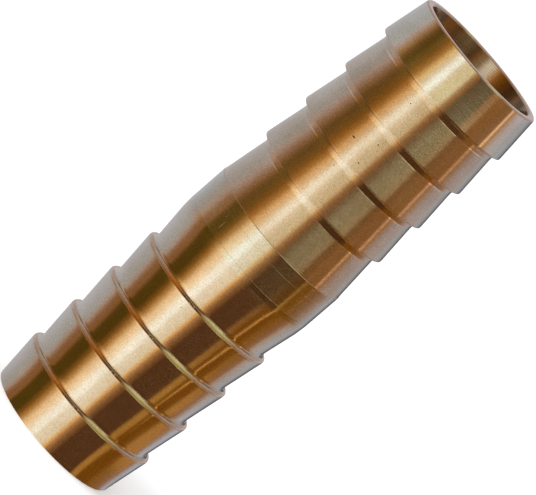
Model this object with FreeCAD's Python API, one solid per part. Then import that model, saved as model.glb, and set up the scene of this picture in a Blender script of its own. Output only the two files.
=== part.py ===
# Straight hose connector: one piece of brass, turned all round from bar and bored through.
# Two equal barbed tails, one for each hose, meet at a plain band in the middle.
# Frame: millimetres. The connector stands on one end, the origin is the centre of that
# end, and +Z runs along the bore to the other end.

import FreeCAD, Part
import math
import os

# The hose, and how far each part of the outside stands out past its bore, all round
hose_bore_d = 19.0
root_height = 0.1         # foot of each barb
tip_height = 0.8          # tip of each barb, by which the hose is stretched
end_height = 0.05         # start of the end barb
band_height = 0.85        # middle band
wall = 1.1                # between the barbs' roots and the bore

# Lengths along the axis
barb_count = 4            # barbs on each tail, the end barb among them
barb_pitch = 6.3          # from one barb's step to the next
end_barb_length = 6.2     # from the end face to the end barb's step
tip_land = 0.25           # narrow cylinder at each barb's tip
root_land = 0.85          # cylinder between each step and the cone that follows it
lower_cone_length = 6.0   # from the lower tail's last step to the band
band_width = 6.1
upper_cone_length = 6.7   # from the band to the upper tail's last step

# Rounds, lips and broken edges
root_bevel = 0.25         # left by the tool's nose at the foot of each step
band_blend_radius = 10.0  # between the lower cone and the band
band_lip = 0.08           # by which the band stands over the start of the upper cone
mouth_chamfer = 0.2       # at each mouth of the bore
rim_chamfer = 0.15        # round the outside of each end

# Radii and heights that follow
hose_r = hose_bore_d / 2
root_r = hose_r + root_height
tip_r = hose_r + tip_height
end_r = hose_r + end_height
band_r = hose_r + band_height
bore_r = root_r - wall
tail_length = end_barb_length + (barb_count - 1) * barb_pitch
band_start = tail_length + lower_cone_length
band_end = band_start + band_width
overall_length = band_end + upper_cone_length + tail_length


def corner(r, z, radius=0):
    """A corner of the wall's section at radius r and height z, and the radius of its round."""
    return FreeCAD.Vector(r, 0, z), radius


def tail_corners(end_z, inward):
    """Corners up the outside of one tail, from its end face to the land past its last step.
    inward is 1 or -1, the direction along Z from the end towards the middle."""
    corners = [
        corner(end_r - rim_chamfer, end_z),
        corner(end_r, end_z + inward * rim_chamfer),
    ]
    for barb in range(barb_count):
        step_z = end_z + inward * (end_barb_length + barb * barb_pitch)
        corners += [
            corner(tip_r, step_z - inward * tip_land),
            corner(tip_r, step_z),
            corner(root_r + root_bevel, step_z),
            corner(root_r, step_z + inward * root_bevel),
            corner(root_r, step_z + inward * root_land),
        ]
    return corners


def band_corners():
    """Corners of the middle band: blended into the lower cone, with a lip at the upper one."""
    return [
        corner(band_r, band_start, band_blend_radius),
        corner(band_r, band_end - band_lip),
        corner(band_r - band_lip, band_end),
    ]


def bore_corners():
    """Corners of the through bore and its chamfered mouths, from the upper end down."""
    mouth_r = bore_r + mouth_chamfer
    return [
        corner(mouth_r, overall_length),
        corner(bore_r, overall_length - mouth_chamfer),
        corner(bore_r, mouth_chamfer),
        corner(mouth_r, 0),
    ]


def round_off(before, at, after, radius):
    """The arc that rounds the corner at a point, tangent to both its sides, with its two ends."""
    back = (before - at).normalize()
    ahead = (after - at).normalize()
    half_angle = back.getAngle(ahead) / 2
    reach = radius / math.tan(half_angle)
    to_centre = (back + ahead).normalize()
    middle = at + to_centre * (radius / math.sin(half_angle) - radius)
    start = at + back * reach
    end = at + ahead * reach
    return start, Part.Arc(start, middle, end), end


def wall_section(corners):
    """The face inside a closed row of corners."""
    points = [at for at, radius in corners]
    edges = []
    here = points[-1]
    for index, (at, radius) in enumerate(corners):
        if radius:
            start, arc, end = round_off(points[index - 1], at, points[index + 1], radius)
            edges += [Part.LineSegment(here, start).toShape(), arc.toShape()]
            here = end
        else:
            edges.append(Part.LineSegment(here, at).toShape())
            here = at
    return Part.Face(Part.Wire(edges))


def hose_connector():
    """The whole connector, turned about the axis from the section of its wall."""
    lower_tail = tail_corners(0, 1)
    upper_tail = tail_corners(overall_length, -1)
    corners = lower_tail + band_corners() + upper_tail[::-1] + bore_corners()
    return wall_section(corners).revolve(FreeCAD.Vector(0, 0, 0), FreeCAD.Vector(0, 0, 1), 360)


parts = {"hose_connector": hose_connector()}

os.makedirs("parts", exist_ok=True)
for node, shape in parts.items():
    shape.exportStep(f"parts/{node}.step")
    print(f"{node}: {shape.ShapeType}, valid {shape.isValid()}, volume {shape.Volume:.1f} mm3")
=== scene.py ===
import math

import bpy
import numpy as np
from mathutils import Matrix, Vector


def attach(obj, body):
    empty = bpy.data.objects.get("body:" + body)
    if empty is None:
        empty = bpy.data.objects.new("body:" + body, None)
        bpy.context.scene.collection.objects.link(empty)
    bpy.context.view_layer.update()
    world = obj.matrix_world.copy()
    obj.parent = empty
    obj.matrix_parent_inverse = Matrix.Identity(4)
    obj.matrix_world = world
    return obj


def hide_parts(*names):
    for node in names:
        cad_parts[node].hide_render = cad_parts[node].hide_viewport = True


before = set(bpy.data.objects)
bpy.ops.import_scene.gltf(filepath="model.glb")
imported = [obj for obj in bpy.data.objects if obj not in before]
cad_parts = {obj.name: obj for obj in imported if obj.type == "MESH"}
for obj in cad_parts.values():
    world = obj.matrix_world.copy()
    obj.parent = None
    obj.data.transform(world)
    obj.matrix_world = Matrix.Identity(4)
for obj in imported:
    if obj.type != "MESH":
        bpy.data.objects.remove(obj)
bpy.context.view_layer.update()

MM = 0.001

# The connector in millimetres: the CAD's sizes, but for the lip, and the rounds and marks of turning
HOSE_R = 9.5
ROOT_R = HOSE_R + 0.1
TIP_R = HOSE_R + 0.8
END_R = HOSE_R + 0.05
BAND_R = HOSE_R + 0.85
BORE_R = ROOT_R - 1.1
BARBS = 4
PITCH = 6.3
END_BARB = 6.2
TIP_LAND = 0.25
ROOT_LAND = 0.85
BAND_START = 31.1
BAND_END = 37.2
LENGTH = 69.0

FOOT_ROUNDS = (0.58, 0.2)  # left by the tool's nose at the foot of each step: lower tail, upper tail
CONE_ROUNDS = (1.2, 1.6)  # between each root land and its cone: lower tail, upper tail
TIP_ROUND = 0.12          # between each cone and its tip
BAND_ROUND = 10.0         # between the lower cone and the band
EDGE_ROUNDS = (0.03, 0.10)  # the tips' edges, where least and most worn
RIM_CHAMFER = 0.15
RIM_ROUNDS = (0.06, 0.1)  # the rim chamfer's edges, at the end face and on the outside
MOUTH_CHAMFER = 0.2
MOUTH_ROUND = 0.05        # between a mouth's chamfer and the end face
FINE_ROUND = 0.02         # on the lip and at the bore's edges; a round up to this radius is one flat
CUT_MARKS = ((32.5, 0.015), (35.6, 0.012))  # height and depth of the lines where two cuts meet
CUT_FLOOR = 2             # width of a cut mark's floor, in depths
CUT_ROUND = 0.5           # on a cut mark's edges, in depths
LIP = 0.06                # by which the band stands over the upper cone; 0.08 in the CAD
FEED = 0.25               # from one feed mark to the next in the bore, near its mouths
FEED_DEPTH = 0.052
FEED_RETURN = 0.1         # share of a feed mark that its short side takes
FEED_ROUND = 0.004        # on a feed mark's edges
FEED_MARKS = 12           # at each mouth
SEGMENTS = 300            # round the axis
ARC_STEP = math.radians(14)  # the most that a round turns from one point to the next


# Section of the wall

def corner(r, z, radius):
    """A corner at radius r and height z, and the radius of its round."""
    return r, z, radius


def tail(end_z, inward, edge, foot, cone):
    """Corners of one tail, from its end face to the land past its last step. Inward is 1 or -1, the
    direction from the end towards the middle. Edge, foot and cone are the rounds of the tips' edges,
    of the steps' feet and between root lands and cones."""
    corners = [
        corner(END_R - RIM_CHAMFER, end_z, RIM_ROUNDS[0]),
        corner(END_R, end_z + inward * RIM_CHAMFER, RIM_ROUNDS[1]),
    ]
    for barb in range(BARBS):
        step = end_z + inward * (END_BARB + barb * PITCH)
        corners += [
            corner(TIP_R, step - inward * TIP_LAND, TIP_ROUND),
            corner(TIP_R, step, edge),
            corner(ROOT_R, step, foot),
            corner(ROOT_R, step + inward * ROOT_LAND, cone),
        ]
    return corners


def cut_mark(z, depth):
    """A fine groove round the band, where one turning cut ran out and the next began."""
    radius = CUT_ROUND * depth
    return [
        corner(BAND_R, z, radius),
        corner(BAND_R - depth, z + depth, radius),
        corner(BAND_R - depth, z + (CUT_FLOOR + 1) * depth, radius),
        corner(BAND_R, z + (CUT_FLOOR + 2) * depth, radius),
    ]


def feed_marks(top):
    """Marks of the boring tool, from a height down: long sides that face up, each after a short one."""
    corners = []
    for mark in range(FEED_MARKS):
        start = top - mark * FEED
        corners += [
            corner(BORE_R + FEED_DEPTH, start - FEED_RETURN * FEED, FEED_ROUND),
            corner(BORE_R, start - FEED, FEED_ROUND),
        ]
    return corners


def wall_corners(edge):
    """The whole section, up the outside and down the bore. Edge is the tips' round."""
    band = [corner(BAND_R, BAND_START, BAND_ROUND)]
    for z, depth in CUT_MARKS:
        band += cut_mark(z, depth)
    band += [
        corner(BAND_R, BAND_END - LIP, FINE_ROUND),
        corner(BAND_R - LIP, BAND_END, FINE_ROUND),
    ]
    mouth = BORE_R + MOUTH_CHAMFER
    bore = [
        corner(mouth, LENGTH, MOUTH_ROUND),
        corner(BORE_R, LENGTH - MOUTH_CHAMFER, FINE_ROUND),
        *feed_marks(LENGTH - MOUTH_CHAMFER),
        *feed_marks(MOUTH_CHAMFER + (FEED_MARKS + 1) * FEED),
        corner(BORE_R, MOUTH_CHAMFER, FINE_ROUND),
        corner(mouth, 0, MOUTH_ROUND),
    ]
    lower = tail(0, 1, edge, FOOT_ROUNDS[0], CONE_ROUNDS[0])
    upper = tail(LENGTH, -1, edge, FOOT_ROUNDS[1], CONE_ROUNDS[1])
    return lower + band + upper[::-1] + bore


def rounded(corners):
    """Points and outward normals of the closed section, each corner rounded by its arc."""
    at = np.array([c[:2] for c in corners])
    ahead = np.roll(at, -1, 0) - at
    ahead /= np.linalg.norm(ahead, axis=1)[:, None]
    points, normals = [], []
    for index, (r, z, radius) in enumerate(corners):
        before, after = ahead[index - 1], ahead[index]
        cross = before[0] * after[1] - before[1] * after[0]
        turn = math.atan2(cross, before @ after)
        side = math.copysign(1, turn)
        start = at[index] - before * radius * math.tan(abs(turn) / 2)
        centre = start + side * radius * np.array([-before[1], before[0]])
        steps = 1 if radius <= FINE_ROUND else math.ceil(abs(turn) / ARC_STEP)
        heading = math.atan2(before[1], before[0])
        for angle in np.linspace(heading, heading + turn, steps + 1):
            left = np.array([-math.sin(angle), math.cos(angle)])
            points.append(centre - side * radius * left)
            normals.append(-left)
    return np.array(points), np.array(normals)


# Brass as it is turned, where it looks paler, and in the bore, where it is darkened as painted shade:
# from its darkest to its lightest
BRASS = ((0.78, 0.55, 0.28), (0.86, 0.63, 0.34))
PALE_BRASS = ((0.76, 0.58, 0.31), (0.84, 0.67, 0.38))
BORE_BRASS_PAINTED_SHADE = ((0.49, 0.335, 0.17), (0.58, 0.41, 0.22))
# Each finish: its tone, its roughness from its smoothest to its roughest, how much further gloss
# spreads along the axis than round it, and the depth of its turning marks in mm. Each stretch of the
# outside has one, up to a height in mm, and the root lands and the bore have their own.
FINISH_MARGIN = 0.1       # by which the end barb's finish starts below its step
FINISHES = [
    ("turned_brass", 31.6, BRASS, (0.12, 0.17), 1.0, 0.003),
    ("smooth_brass", CUT_MARKS[0][0], PALE_BRASS, (0.08, 0.11), 0.6, 0.002),
    ("band_brass", BAND_END - 0.5 * LIP, PALE_BRASS, (0.13, 0.18), 0.9, 0.005),
    ("upper_brass", LENGTH - END_BARB - FINISH_MARGIN, BRASS, (0.19, 0.24), 1.0, 0.005),
    ("end_barb_brass", LENGTH, PALE_BRASS, (0.10, 0.13), 0.5, 0.0012),
]
LAND_FINISH = ("land_brass", BRASS, (0.10, 0.13), 0.3, 0.003)
# The bore's darker tone is painted shade, for the shade inside the hole
BORE_FINISH_AND_PAINTED_SHADE = ("bored_brass_painted_shade", BORE_BRASS_PAINTED_SHADE, (0.11, 0.15), 0.8, 0.004)
LAND_FINISH_R = ROOT_R + 0.03                 # the root lands' finish reaches out to here
BORE_FINISH_R = BORE_R + 0.5 * MOUTH_CHAMFER  # and the bore's, with its painted shade, to here
OUTSIDE_FROM_R = BORE_R + 2 * MOUTH_CHAMFER   # past the bore and its mouths' chamfers
# Small marks of use, dark specks, and scratches and burrs on the tips' edges whose pale colour is a
# painted glint: azimuth in degrees towards -X, height, and half their size round the axis and along
# it, in mm
SPECKS = [
    (17.5, 52.9, 0.24, 0.10), (1.7, 51.4, 0.09, 0.09), (2.3, 54.5, 0.09, 0.10),
    (9.2, 60.6, 0.10, 0.07), (12.0, 48.9, 0.08, 0.08), (6.3, 24.0, 0.10, 0.06),
]
SCRATCHES_AND_PAINTED_GLINTS = [
    (31.0, 33.95, 0.075, 0.70), (33.5, 35.1, 0.05, 0.25), (23.5, 35.3, 0.045, 0.30),
    (33.6, 12.32, 0.09, 0.08), (35.6, 18.68, 0.09, 0.09), (21.7, 18.5, 0.08, 0.08),
    (21.5, 24.9, 0.07, 0.06), (21.1, 44.05, 0.09, 0.07), (3.4, 6.22, 0.16, 0.10),
    (-0.4, 6.28, 0.12, 0.09), (4.6, 12.52, 0.13, 0.10), (1.2, 12.58, 0.16, 0.09),
    (6.2, 18.82, 0.14, 0.10), (3.0, 18.86, 0.11, 0.09), (5.0, 25.12, 0.15, 0.10),
    (0.8, 25.18, 0.12, 0.09),
]
SPECK_COLOUR = (0.16, 0.08, 0.04, 1)
# Pale colour of the scratches and burrs: a painted glint
PAINTED_GLINT_COLOUR = (0.96, 0.86, 0.66, 1)
MARK_ROUGHNESS = 0.55
MARK_FADE = (0.7, 1.1)    # where a mark starts to fade and where it ends, in half sizes
# Noise on the brass: features a metre round the axis and along it, and how fine its detail is
FINE_NOISE = (500, 6000, 2)
COARSE_NOISE = (120, 1500, 3)
GRAIN_NOISE = (4500, 5500, 2)
STAIN_NOISE = (160, 220, 4)
NOISE_ROUGHNESS = 0.6
# The part of each noise's range that is used, from low to high
FINE_SPAN = (0.3, 0.7)
GRAIN_SPAN = (0.25, 0.75)
STAIN_SPAN = (0.35, 0.65)
COARSE_HEIGHT = 1.5       # of the coarse noise in the turning marks, where the fine noise has 1
GRAIN_HEIGHT = 0.15       # of the grain in them
GRAIN_SHADES = (0.83, 1.17)  # by which the grain darkens and lightens the colour
GLOSS_TURN = 0.25         # a quarter turn, so that gloss spreads across the marks
# How worn the tips' edges are, round the axis: the mean, the swing and the waves that make it up
WEAR_MEAN = 0.5
WEAR_SWING = 0.35
WEAR_WAVES = (3, 7, 13, 29)
WEAR_SEED = 5


# Mesh

def wear(angles):
    """How worn the tips' edges are at each angle round the axis: smooth, and mostly from 0 to 1."""
    pick = np.random.default_rng(WEAR_SEED)
    total = np.zeros_like(angles)
    for wave in WEAR_WAVES:
        share = math.sqrt(1 / len(WEAR_WAVES))
        total += share * np.sin(wave * angles + pick.uniform(0, 2 * math.pi))
    return WEAR_MEAN + WEAR_SWING * total


def lathe(name):
    """Turns the section about Z, with a finish on each stretch and the tips' edges worn unevenly."""
    crisp, normals = rounded(wall_corners(EDGE_ROUNDS[0]))
    soft, _ = rounded(wall_corners(EDGE_ROUNDS[1]))
    angles = np.arange(SEGMENTS) * 2 * math.pi / SEGMENTS
    share = wear(angles)[:, None, None]
    section = (crisp + (soft - crisp) * share) * MM
    out = np.stack([np.sin(angles), -np.cos(angles)], 1)
    count = len(crisp)
    places = np.empty((SEGMENTS, count, 3))
    places[..., :2] = section[..., :1] * out[:, None]
    places[..., 2] = section[..., 1]
    facing = np.empty_like(places)
    facing[..., :2] = normals[None, :, :1] * out[:, None]
    facing[..., 2] = normals[None, :, 1]

    ring = np.arange(SEGMENTS)[:, None] * count
    here = np.arange(count)[None]
    ahead = (here + 1) % count
    right = (ring + count) % (SEGMENTS * count)
    quads = np.stack([ring + here, right + here, right + ahead, ring + ahead], -1)
    mesh = bpy.data.meshes.new(name)
    mesh.from_pydata(places.reshape(-1, 3), [], quads.reshape(-1, 4).tolist())
    mesh.polygons.foreach_set("use_smooth", np.ones(len(mesh.polygons), bool))
    middle = (crisp + np.roll(crisp, -1, 0)) / 2
    tops = [top for _, top, *_ in FINISHES]
    finish = np.searchsorted(tops, middle[:, 1]).clip(0, len(FINISHES) - 1)
    finish[middle[:, 0] < LAND_FINISH_R] = len(FINISHES)
    finish[middle[:, 0] < BORE_FINISH_R] = len(FINISHES) + 1
    mesh.polygons.foreach_set("material_index", np.tile(finish.astype(np.int32), SEGMENTS))

    lengths = np.linalg.norm(np.roll(crisp, -1, 0) - crisp, axis=1)
    along = np.concatenate([[0], np.cumsum(lengths)]) / lengths.sum()
    low_u = np.arange(SEGMENTS)[:, None] / SEGMENTS * np.ones((1, count))
    low_v = along[:-1][None] * np.ones((SEGMENTS, 1))
    high_v = along[1:][None] * np.ones((SEGMENTS, 1))
    high_u = low_u + 1 / SEGMENTS
    uv = np.stack([low_u, low_v, high_u, low_v, high_u, high_v, low_u, high_v], -1)
    mesh.uv_layers.new(name="OFBake").uv.foreach_set("vector", uv.reshape(-1).astype(np.float32))
    mesh.validate()
    mesh.normals_split_custom_set_from_vertices(facing.reshape(-1, 3).tolist())
    piece = bpy.data.objects.new(name, mesh)
    bpy.context.scene.collection.objects.link(piece)
    return piece


# Brass

def node(tree, kind, **values):
    """A node with its properties and its inputs set, inputs by name."""
    made = tree.nodes.new(kind)
    for key, value in values.items():
        if hasattr(made, key):
            setattr(made, key, value)
        else:
            made.inputs[key.replace("_", " ")].default_value = value
    return made


def outside_radius(height):
    """Radius of the outside at a height, both in mm."""
    points, _ = rounded(wall_corners(EDGE_ROUNDS[0]))
    outside = points[points[:, 0] > OUTSIDE_FROM_R]
    outside = outside[np.argsort(outside[:, 1], kind="stable")]
    return np.interp(height, outside[:, 1], outside[:, 0])


def mask(tree, place, marks):
    """1 on each of the marks, 0 off them."""
    nearest = None
    for azimuth, height, around, along in marks:
        angle = math.radians(azimuth)
        radius = outside_radius(height)
        away = node(tree, "ShaderNodeVectorMath", operation="SUBTRACT")
        away.inputs[1].default_value = (
            -radius * math.sin(angle) * MM, -radius * math.cos(angle) * MM, height * MM)
        tree.links.new(place.outputs["Object"], away.inputs[0])
        sized = node(tree, "ShaderNodeVectorMath", operation="MULTIPLY")
        sized.inputs[1].default_value = (1 / around / MM, 1 / around / MM, 1 / along / MM)
        tree.links.new(away.outputs["Vector"], sized.inputs[0])
        size = node(tree, "ShaderNodeVectorMath", operation="LENGTH")
        tree.links.new(sized.outputs["Vector"], size.inputs[0])
        if nearest is None:
            nearest = size.outputs["Value"]
            continue
        nearer = node(tree, "ShaderNodeMath", operation="MINIMUM")
        tree.links.new(nearest, nearer.inputs[0])
        tree.links.new(size.outputs["Value"], nearer.inputs[1])
        nearest = nearer.outputs[0]
    shown = node(
        tree, "ShaderNodeMapRange", From_Min=MARK_FADE[0], From_Max=MARK_FADE[1], To_Min=1, To_Max=0)
    tree.links.new(nearest, shown.inputs["Value"])
    return shown.outputs["Result"]


def brass(name, tone, rough, spread, depth):
    """Brass with the fine marks of the turning tool round the axis and small marks of use: dark specks,
    and scratches and burrs with a painted glint in their pale colour. Tone is its darkest and its
    lightest colour, and rough its smoothest and its roughest. Spread is how much further gloss spreads
    across the turning marks, and depth is theirs in mm."""
    material = bpy.data.materials.new(name)
    material.use_nodes = True
    tree = material.node_tree
    tree.nodes.clear()
    link = tree.links.new
    place = node(tree, "ShaderNodeTexCoord")

    def noise_of(around, along, detail):
        """Noise with about this many features a metre round the axis and along it."""
        mapping = node(tree, "ShaderNodeMapping")
        mapping.inputs["Scale"].default_value = (around, around, along)
        link(place.outputs["Object"], mapping.inputs["Vector"])
        noise = node(
            tree, "ShaderNodeTexNoise", Scale=1, Detail=detail, Roughness=NOISE_ROUGHNESS)
        link(mapping.outputs["Vector"], noise.inputs["Vector"])
        return noise.outputs["Fac"]

    fine = noise_of(*FINE_NOISE)
    coarse = noise_of(*COARSE_NOISE)
    grain = noise_of(*GRAIN_NOISE)
    stain = noise_of(*STAIN_NOISE)

    height = node(tree, "ShaderNodeMath", operation="MULTIPLY_ADD")
    link(coarse, height.inputs[0])
    height.inputs[1].default_value = COARSE_HEIGHT
    link(fine, height.inputs[2])
    rise = node(tree, "ShaderNodeMath", operation="MULTIPLY_ADD")
    link(grain, rise.inputs[0])
    rise.inputs[1].default_value = GRAIN_HEIGHT
    link(height.outputs[0], rise.inputs[2])
    bump = node(tree, "ShaderNodeBump", Strength=1, Distance=depth * MM)
    link(rise.outputs[0], bump.inputs["Height"])

    base = node(tree, "ShaderNodeMix", data_type="RGBA")
    base.inputs["A"].default_value = (*tone[0], 1)
    base.inputs["B"].default_value = (*tone[1], 1)
    stained = node(
        tree, "ShaderNodeMapRange", From_Min=STAIN_SPAN[0], From_Max=STAIN_SPAN[1])
    link(stain, stained.inputs["Value"])
    link(stained.outputs["Result"], base.inputs["Factor"])
    shade = node(
        tree, "ShaderNodeMapRange", From_Min=GRAIN_SPAN[0], From_Max=GRAIN_SPAN[1],
        To_Min=GRAIN_SHADES[0], To_Max=GRAIN_SHADES[1])
    link(grain, shade.inputs["Value"])
    colour = node(tree, "ShaderNodeMix", data_type="RGBA", blend_type="MULTIPLY")
    colour.inputs["Factor"].default_value = 1
    link(base.outputs["Result"], colour.inputs["A"])
    link(shade.outputs["Result"], colour.inputs["B"])
    specks = mask(tree, place, SPECKS)
    # The scratches and burrs, painted pale as a glint
    scratches_and_glints = mask(tree, place, SCRATCHES_AND_PAINTED_GLINTS)
    shown = colour.outputs["Result"]
    for marked, mark_colour in ((specks, SPECK_COLOUR), (scratches_and_glints, PAINTED_GLINT_COLOUR)):
        over = node(tree, "ShaderNodeMix", data_type="RGBA")
        over.inputs["B"].default_value = mark_colour
        link(marked, over.inputs["Factor"])
        link(shown, over.inputs["A"])
        shown = over.outputs["Result"]

    gloss = node(
        tree, "ShaderNodeMapRange", From_Min=FINE_SPAN[0], From_Max=FINE_SPAN[1],
        To_Min=rough[0], To_Max=rough[1])
    link(fine, gloss.inputs["Value"])
    either = node(tree, "ShaderNodeMath", operation="MAXIMUM")
    link(specks, either.inputs[0])
    link(scratches_and_glints, either.inputs[1])
    dulled = node(tree, "ShaderNodeMix", data_type="FLOAT")
    dulled.inputs["B"].default_value = MARK_ROUGHNESS
    link(either.outputs[0], dulled.inputs["Factor"])
    link(gloss.outputs["Result"], dulled.inputs["A"])

    tangent = node(tree, "ShaderNodeTangent", direction_type="RADIAL", axis="Z")
    shader = node(
        tree, "ShaderNodeBsdfPrincipled", Metallic=1, Anisotropic=spread,
        Anisotropic_Rotation=GLOSS_TURN)
    link(shown, shader.inputs["Base Color"])
    link(dulled.outputs["Result"], shader.inputs["Roughness"])
    link(bump.outputs["Normal"], shader.inputs["Normal"])
    link(tangent.outputs["Tangent"], shader.inputs["Tangent"])
    output = node(tree, "ShaderNodeOutputMaterial")
    link(shader.outputs["BSDF"], output.inputs["Surface"])
    return material


# Studio: a floor, a white surrounding, and a tent of cards that only the metal sees

FLOOR_HALF = 4.0          # m
FLOOR_COLOUR = (0.93, 0.93, 0.94, 1)
FLOOR_ROUGHNESS = 0.9
FLOOR_LIFT = 0.2          # the floor's own light, where it is seen as background
WORLD_LIGHT = 0.85        # on the floor; where the world itself is seen it is 1, which is white
LAMP_SIZE = 0.5           # m
LAMP_ENERGY = 3.2
LAMP_PLACE = (-0.45, -0.35, 0.75)  # m


def seen_white(tree):
    """1 for the rays that show the background: those of the camera, and of gloss or glass."""
    path = node(tree, "ShaderNodeLightPath")
    total = path.outputs["Is Camera Ray"]
    for name in ("Is Glossy Ray", "Is Transmission Ray"):
        either = node(tree, "ShaderNodeMath", operation="MAXIMUM")
        tree.links.new(total, either.inputs[0])
        tree.links.new(path.outputs[name], either.inputs[1])
        total = either.outputs[0]
    return total


def floor_material():
    """White paper: it takes the shadow, and its lit part reaches white."""
    material = bpy.data.materials.new("floor_paper")
    material.use_nodes = True
    tree = material.node_tree
    shader = tree.nodes["Principled BSDF"]
    shader.inputs["Base Color"].default_value = FLOOR_COLOUR
    shader.inputs["Roughness"].default_value = FLOOR_ROUGHNESS
    shader.inputs["Specular IOR Level"].default_value = 0
    shader.inputs["Emission Color"].default_value = (1, 1, 1, 1)
    lift = node(tree, "ShaderNodeMath", operation="MULTIPLY")
    lift.inputs[1].default_value = FLOOR_LIFT
    tree.links.new(seen_white(tree), lift.inputs[0])
    tree.links.new(lift.outputs[0], shader.inputs["Emission Strength"])
    return material


def surroundings():
    """White where it is seen, and an even soft light on the floor."""
    world = bpy.data.worlds.new("surroundings")
    bpy.context.scene.world = world
    world.use_nodes = True
    tree = world.node_tree
    shader = tree.nodes["Background"]
    shader.inputs["Color"].default_value = (1, 1, 1, 1)
    strength = node(tree, "ShaderNodeMapRange", To_Min=WORLD_LIGHT, To_Max=1)
    tree.links.new(seen_white(tree), strength.inputs["Value"])
    tree.links.new(strength.outputs["Result"], shader.inputs["Strength"])


# The cards: their colours, and then which colour is at which azimuth, in degrees from the camera
# towards -X. Between two places the colours blend.
SLATE = (0.115, 0.115, 0.14)
STEEL = (0.26, 0.31, 0.42)
HAZE = (0.37, 0.41, 0.54)
SKY = (0.40, 0.48, 0.74)
BRIGHT_SKY = (0.46, 0.56, 0.88)
LAVENDER = (0.51, 0.55, 0.90)
MAUVE = (0.40, 0.38, 0.50)
ROSE = (0.45, 0.38, 0.44)
BLUSH = (0.52, 0.44, 0.54)
RIM = (0.54, 0.50, 0.60)
PEARL = (0.50, 0.55, 0.70)
PLUM = (0.28, 0.19, 0.18)
CLAY = (0.44, 0.28, 0.18)
SIENNA = (0.31, 0.155, 0.075)
UMBER = (0.26, 0.145, 0.075)
COCOA = (0.29, 0.17, 0.105)
DEEP_UMBER = (0.20, 0.11, 0.055)
DARK = (0.095, 0.047, 0.027)
DARKEST = (0.071, 0.037, 0.019)
SMOKE = (0.72, 0.80, 0.78)
STONE = (0.30, 0.28, 0.25)
DARK_SMOKE = (0.125, 0.095, 0.075)
PEWTER = (0.17, 0.165, 0.20)
DUSK = (0.14, 0.11, 0.10)
EARTH = (0.135, 0.09, 0.06)
DARK_OLIVE = (0.088, 0.06, 0.011)
OLIVE = (0.17, 0.11, 0.04)
BRONZE = (0.24, 0.125, 0.03)
OLD_GOLD = (0.18, 0.078, 0.009)
GOLD = (0.42, 0.25, 0.08)
AMBER = (0.52, 0.33, 0.15)
GLINT = (1.05, 0.74, 0.66)
GOLD_GLINT = (0.95, 0.62, 0.26)
OCHRE = (0.44, 0.26, 0.10)
RUST_HONEY = (0.83, 0.49, 0.20)
RUST = (0.42, 0.20, 0.05)
SAND = (0.80, 0.60, 0.38)
PEACH = (0.95, 0.82, 0.72)
WHEAT = (0.83, 0.65, 0.42)
CREAM = (0.85, 0.88, 0.98)
PALE = (0.93, 1.05, 1.36)
WARM_WHITE = (1.04, 1.07, 1.20)
SOFTBOX = (1.10, 1.34, 1.93)
IVORY = (0.80, 0.81, 0.78)
WARM_BOX = (1.07, 1.22, 1.55)
HONEY = (0.83, 0.57, 0.30)
SAGE = (0.52, 0.64, 0.54)
PALE_OLIVE = (1.16, 1.28, 1.10)

FLOOR_BOX = [
    (-17, UMBER), (-12, CLAY), (-8, HONEY), (-4, CREAM), (10, PALE), (15, SOFTBOX), (21, SOFTBOX),
    (28, WARM_WHITE), (36, PEACH), (44, AMBER), (51, BRONZE), (59, DARK_OLIVE), (76, DARK_OLIVE),
]
FAR_EDGE = [(140, BRIGHT_SKY), (154, PEARL), (174, PEARL), (180, HAZE)]
FLOOR_BLUE = [(82, UMBER), (89, UMBER), (94, PLUM), (101, ROSE), (108, SKY), *FAR_EDGE]
FOOT_FLOOR = [
    (-180, SLATE), (-164, SLATE), (-158, STEEL), (-150, SKY), (-142, MAUVE), (-132, PLUM),
    (-122, UMBER), (-106, BRONZE), (-96, OLD_GOLD), (-77, OLD_GOLD), (-72, GOLD), (-67, GOLD),
    (-62, DARK), (-25, DARK), *FLOOR_BOX, *FLOOR_BLUE,
]
NEAR_FLOOR = [
    (-180, SLATE), (-164, SLATE), (-158, STEEL), (-150, BRIGHT_SKY), (-144, SKY), (-137, MAUVE),
    (-132, PLUM), (-128, OCHRE), (-104, OCHRE), (-98, BRONZE), (-90, OLD_GOLD), (-77, OLD_GOLD),
    (-73, GOLD), (-66, GOLD), (-61, DARK), (-25, DARK), *FLOOR_BOX, *FLOOR_BLUE,
]
FLOOR = [
    (-180, SLATE), (-164, SLATE), (-157, STEEL), (-149, BRIGHT_SKY), (-138, BRIGHT_SKY),
    (-129, MAUVE), (-123, PLUM), (-119, PLUM), (-110, OCHRE), (-100, OCHRE), (-94, OLD_GOLD),
    (-79, OLD_GOLD), (-78, GOLD_GLINT), (-77, GOLD_GLINT), (-76, OLD_GOLD), (-72, OLD_GOLD),
    (-69, GOLD), (-62.5, GOLD), (-58, DARK), (-25, DARK), *FLOOR_BOX, *FLOOR_BLUE,
]
MIDDLE_FLOOR = [
    (-180, SLATE), (-162, SLATE), (-155, STEEL), (-147, SKY), (-130, SKY), (-120, ROSE),
    (-114, PLUM), (-106, UMBER), (-98, BRONZE), (-84, OLD_GOLD), (-79, OLD_GOLD), (-78, GOLD_GLINT),
    (-77, GOLD_GLINT), (-76, OLD_GOLD), (-70, OLD_GOLD), (-60, DEEP_UMBER), (-54, DARK),
    (-25, DARK), *FLOOR_BOX, *FLOOR_BLUE,
]
FAR_FLOOR = [
    (-180, SLATE), (-162, SLATE), (-155, STEEL), (-148, SKY), (-134, MAUVE), (-122, PLUM),
    (-115, UMBER), (-108, DEEP_UMBER), (-98, OLD_GOLD), (-82, OLD_GOLD), (-79, GOLD), (-77, BRONZE),
    (-74, DARKEST), (-25, DARKEST), *FLOOR_BOX, (82, UMBER), (91, SIENNA), (99, CLAY), (107, ROSE),
    (114, MAUVE), (136, SKY), *FAR_EDGE[1:],
]
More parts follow.
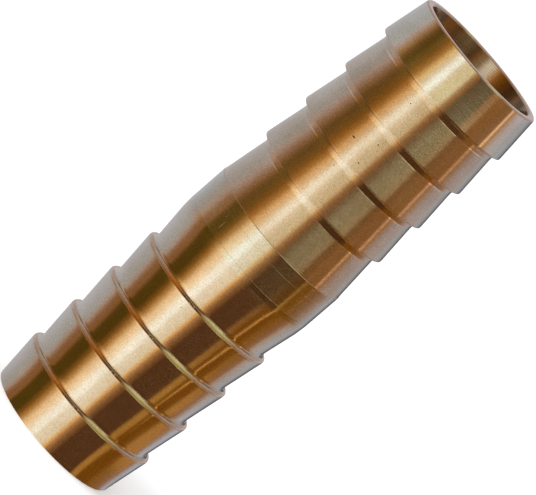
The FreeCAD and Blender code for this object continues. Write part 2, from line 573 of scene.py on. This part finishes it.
LAND_FLOOR = [
    (-180, SLATE), (-162, SLATE), (-155, STEEL), (-148, SKY), (-134, MAUVE), (-122, PLUM),
    (-112, UMBER), (-92, OLD_GOLD), (-80, OLD_GOLD), (-70, DARKEST), (-25, DARKEST),
    *FLOOR_BOX[:-2], (60, OLIVE), (72, OLIVE), (80, UMBER), (88, PLUM), (100, ROSE), (108, MAUVE),
    (130, SKY), *FAR_EDGE[1:],
]
LEVEL_SIDE = [
    (13, PEACH), (16, WARM_BOX), (21, WARM_BOX), (27, PEACH), (36, HONEY), (43, RUST), (52, BRONZE),
    (60, OLIVE), (68, OLIVE), (73, UMBER), (79, CLAY), (86, BLUSH), (92, LAVENDER),
    (101, BRIGHT_SKY),
]
LOW_SIDE = [
    (13, PEACH), (16, WARM_WHITE), (21, WARM_WHITE), (27, SAND), (36, RUST_HONEY), (43, RUST),
    (52, BRONZE), (60, OLIVE), (71, OLIVE), (78, UMBER), (86, CLAY), (95, BLUSH), (102, LAVENDER),
    (110, BRIGHT_SKY),
]


def horizon(patch, fade, bright_side):
    """The cards at the height of the part, but for those behind it. Patch is the colour of the card
    from -58 degrees to fade, and bright_side is the cards from the highlight onwards."""
    return [
        (-140, SKY), (-130, SKY), (-122, LAVENDER), (-112, LAVENDER), (-104, BLUSH), (-98, CLAY),
        (-95, GLINT), (-93, GLINT), (-91, COCOA), (-76, COCOA), (-66, DEEP_UMBER),
        (-61, DEEP_UMBER), (-58, patch), (fade, patch), (-17, UMBER), (-11, CLAY), (-6, IVORY),
        (6, IVORY), *bright_side, (118, BRIGHT_SKY), (136, BRIGHT_SKY),
    ]


LEVEL = [(-180, SLATE), (-162, SLATE), (-155, STEEL), *horizon(DARK, -21, LEVEL_SIDE), *FAR_EDGE[1:]]
LOW_WALL = [
    (-180, PEARL), (-170, PEARL), (-156, HAZE), *horizon(SMOKE, -33, LOW_SIDE), (154, PEARL),
    (180, PEARL),
]
WALL = [
    (-180, RIM), (-174, RIM), (-168, HAZE), (-136, HAZE), (-122, PEWTER), (-106, DUSK),
    (-93, UMBER), (-80, DEEP_UMBER), (-70, SIENNA), (-50, SIENNA), (-47, DARK_SMOKE),
    (-21, DARK_SMOKE), (-17, UMBER), (-11, CLAY), (-6, IVORY), (6, IVORY), (12, CREAM),
    (16, SOFTBOX), (21, SOFTBOX), (28, CREAM), (36, WHEAT), (43, OCHRE), (52, BRONZE), (60, OLIVE),
    (68, DARK_OLIVE), (78, DARK_OLIVE), (88, EARTH), (97, PLUM), (107, PEWTER), (118, PEWTER),
    (132, HAZE), (168, HAZE), (174, RIM), (180, RIM),
]
BORE_WALL = [
    (-180, MAUVE), (-136, MAUVE), (-122, PEWTER), (-106, DUSK), (-94, SIENNA), (-80, UMBER),
    (-69, EARTH), (-20, EARTH), (-10, UMBER), (4, STONE), (14, WARM_BOX), (24, WARM_BOX),
    (31, WHEAT), (39, RUST), (48, BRONZE), (56, OLD_GOLD), (69, DARK), (78, DARK), (88, EARTH),
    (97, PLUM), (107, PEWTER), (118, PEWTER), (132, MAUVE), (180, MAUVE),
]
HIGH = [
    (-180, MAUVE), (-110, MAUVE), (-100, PLUM), (-90, UMBER), (-66, UMBER), (-58, PALE_OLIVE),
    (-38, PALE_OLIVE), (-22, PLUM), (-16, DARK), (-8, RUST), (2, SAND), (12, WARM_WHITE),
    (24, WARM_WHITE), (32, RUST), (46, RUST), (56, UMBER), (72, UMBER), (80, MAUVE),
    (92, BRIGHT_SKY), (130, BRIGHT_SKY), (142, MAUVE), (180, MAUVE),
]
OVERHEAD = [
    (-180, MAUVE), (-124, MAUVE), (-108, PLUM), (-98, SAGE), (-28, SAGE), (-18, DARK_OLIVE),
    (40, DARK_OLIVE), (56, RUST), (90, RUST), (104, PLUM), (124, MAUVE), (180, MAUVE),
]
CEILING = [(-180, MAUVE), (180, MAUVE)]
CARD_LINE_R = 10.0        # mm, the mean radius of the outside
CARD_INSIDE = 0.0008      # m, how far the lying cards reach in under the part
CARD_FOOT = 0.00002       # m, and their height over the floor
CARD_REACH = 0.6          # m, from the part to the upright cards
# From the part outwards and up over it: distance and height in metres, and colours. The row at a
# negative distance lies in under the part.
CARD_ROWS = [
    (-CARD_INSIDE, CARD_FOOT, FOOT_FLOOR),
    (0.008, CARD_FOOT, FOOT_FLOOR),
    (0.014, CARD_FOOT, NEAR_FLOOR),
    (0.022, CARD_FOOT, NEAR_FLOOR),
    (0.042, CARD_FOOT, FLOOR),
    (0.048, CARD_FOOT, FLOOR),
    (0.0525, CARD_FOOT, MIDDLE_FLOOR),
    (0.14, CARD_FOOT, MIDDLE_FLOOR),
    (0.16, CARD_FOOT, FAR_FLOOR),
    (0.205, CARD_FOOT, FAR_FLOOR),
    (0.225, CARD_FOOT, LAND_FLOOR),
    (0.42, CARD_FOOT, LAND_FLOOR),
    (0.5, CARD_FOOT, LEVEL),
    (CARD_REACH, CARD_FOOT, LEVEL),
    (CARD_REACH, 0.042, LEVEL),
    (CARD_REACH, 0.058, LOW_WALL),
    (CARD_REACH, 0.10, LOW_WALL),
    (CARD_REACH, 0.108, WALL),
    (CARD_REACH, 0.19, WALL),
    (CARD_REACH, 0.205, BORE_WALL),
    (CARD_REACH, 0.30, BORE_WALL),
    (CARD_REACH, 0.33, HIGH),
    (CARD_REACH, 0.40, HIGH),
    (CARD_REACH, 0.49, OVERHEAD),
    (0.8 * CARD_REACH, 0.65, OVERHEAD),
    (0.5 * CARD_REACH, 0.75, OVERHEAD),
    (0.35 * CARD_REACH, 0.785, CEILING),
    (0.01, 0.8, CEILING),
]


def tent_mesh():
    """Cards bounded by the lines that show as straight edges along the part, seen from the front.
    A point at half the azimuth round the part reflects along each such line. A row in under the
    part has no such line and lies on a smaller circle."""
    degrees = np.arange(-180, 181, 1.0)
    azimuths = np.radians(degrees)
    start = -CARD_LINE_R * MM * np.stack([np.sin(azimuths / 2), np.cos(azimuths / 2)], 1)
    heading = -np.stack([np.sin(azimuths), np.cos(azimuths)], 1)
    wide = len(azimuths)
    places, colours = [], []
    for reach, height, stops in CARD_ROWS:
        inset = 1 + min(reach, 0) / (CARD_LINE_R * MM)
        places.append(np.c_[start * inset + heading * max(reach, 0), np.full(wide, height)])
        at = [azimuth for azimuth, _ in stops]
        channels = zip(*(colour for _, colour in stops))
        colours.append(np.stack([np.interp(degrees, at, channel) for channel in channels], 1))
    quads = []
    for row in range(len(CARD_ROWS) - 1):
        for column in range(wide):
            beside = (column + 1) % wide
            quads.append((row * wide + column, row * wide + beside,
                          (row + 1) * wide + beside, (row + 1) * wide + column))
    mesh = bpy.data.meshes.new("card_tent")
    mesh.from_pydata(np.concatenate(places).tolist(), [], quads)
    paint = mesh.color_attributes.new("Card", "FLOAT_COLOR", "POINT")
    rgba = np.c_[np.concatenate(colours), np.ones(len(CARD_ROWS) * wide)]
    paint.data.foreach_set("color", rgba.reshape(-1).astype(np.float32))
    return mesh


def card_material():
    """Light in the cards' own colours, which falls on nothing but shows in the metal."""
    material = bpy.data.materials.new("cards")
    material.use_nodes = True
    material.cycles.emission_sampling = "NONE"
    tree = material.node_tree
    tree.nodes.clear()
    paint = node(tree, "ShaderNodeAttribute", attribute_name="Card")
    shader = node(tree, "ShaderNodeEmission", Strength=1)
    output = node(tree, "ShaderNodeOutputMaterial")
    tree.links.new(paint.outputs["Color"], shader.inputs["Color"])
    tree.links.new(shader.outputs["Emission"], output.inputs["Surface"])
    return material


def studio():
    """The floor, the tent of cards and one soft lamp."""
    scene = bpy.context.scene
    floor_mesh = bpy.data.meshes.new("floor")
    half = FLOOR_HALF
    floor_corners = [(-half, -half, 0), (half, -half, 0), (half, half, 0), (-half, half, 0)]
    floor_mesh.from_pydata(floor_corners, [], [(0, 1, 2, 3)])
    floor_mesh.materials.append(floor_material())
    floor = bpy.data.objects.new("floor", floor_mesh)
    scene.collection.objects.link(floor)

    tent = bpy.data.objects.new("card_tent", tent_mesh())
    tent.data.materials.append(card_material())
    scene.collection.objects.link(tent)
    tent.visible_camera = False
    tent.visible_diffuse = False
    tent.visible_transmission = False
    tent.visible_volume_scatter = False
    tent.visible_shadow = False

    lamp = bpy.data.lights.new("soft_lamp", "AREA")
    lamp.size = LAMP_SIZE
    lamp.energy = LAMP_ENERGY
    key = bpy.data.objects.new("soft_lamp", lamp)
    key.location = LAMP_PLACE
    key.rotation_euler = (-key.location).to_track_quat("-Z", "Y").to_euler()
    key.visible_glossy = False
    scene.collection.objects.link(key)


# Camera: turned about its own line of sight, so that the standing part lies across the picture
CAMERA_FALL = math.radians(10.69)     # below the horizon
CAMERA_ROLL = math.radians(49.146)
CAMERA_DISTANCE = 599.3               # mm, from the middle of the part
CAMERA_ASIDE = (-0.319, 0.043)        # mm, the part's middle from the middle of the picture
LENS = 335.82                         # mm
SENSOR_WIDTH = 36                     # mm
CLIP = (0.01, 20)                     # m, nearest and furthest that is shown


def camera():
    """Looks at the part's -Y side from a little above, rolled to the photo's slant."""
    forward = Vector((0, math.cos(CAMERA_FALL), -math.sin(CAMERA_FALL)))
    level = Vector((1, 0, 0))
    rise = Vector((0, math.sin(CAMERA_FALL), math.cos(CAMERA_FALL)))
    right = level * math.cos(CAMERA_ROLL) + rise * math.sin(CAMERA_ROLL)
    up = rise * math.cos(CAMERA_ROLL) - level * math.sin(CAMERA_ROLL)
    middle = Vector((0, 0, LENGTH / 2))
    aside = right * CAMERA_ASIDE[0] + up * CAMERA_ASIDE[1]
    place = (middle - aside - forward * CAMERA_DISTANCE) * MM
    data = bpy.data.cameras.new("camera")
    data.lens = LENS
    data.sensor_width = SENSOR_WIDTH
    data.clip_start, data.clip_end = CLIP
    made = bpy.data.objects.new("camera", data)
    turn = Matrix((right, up, -forward)).transposed().to_4x4()
    made.matrix_world = Matrix.Translation(place) @ turn
    bpy.context.scene.collection.objects.link(made)
    bpy.context.scene.camera = made


# The part in its studio

connector = lathe("connector")
for name, _, *finish in FINISHES:
    connector.data.materials.append(brass(name, *finish))
connector.data.materials.append(brass(*LAND_FINISH))
connector.data.materials.append(brass(*BORE_FINISH_AND_PAINTED_SHADE))
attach(connector, "root")
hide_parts("hose_connector")

studio()
surroundings()
camera()
bpy.context.scene.view_settings.view_transform = "Standard"
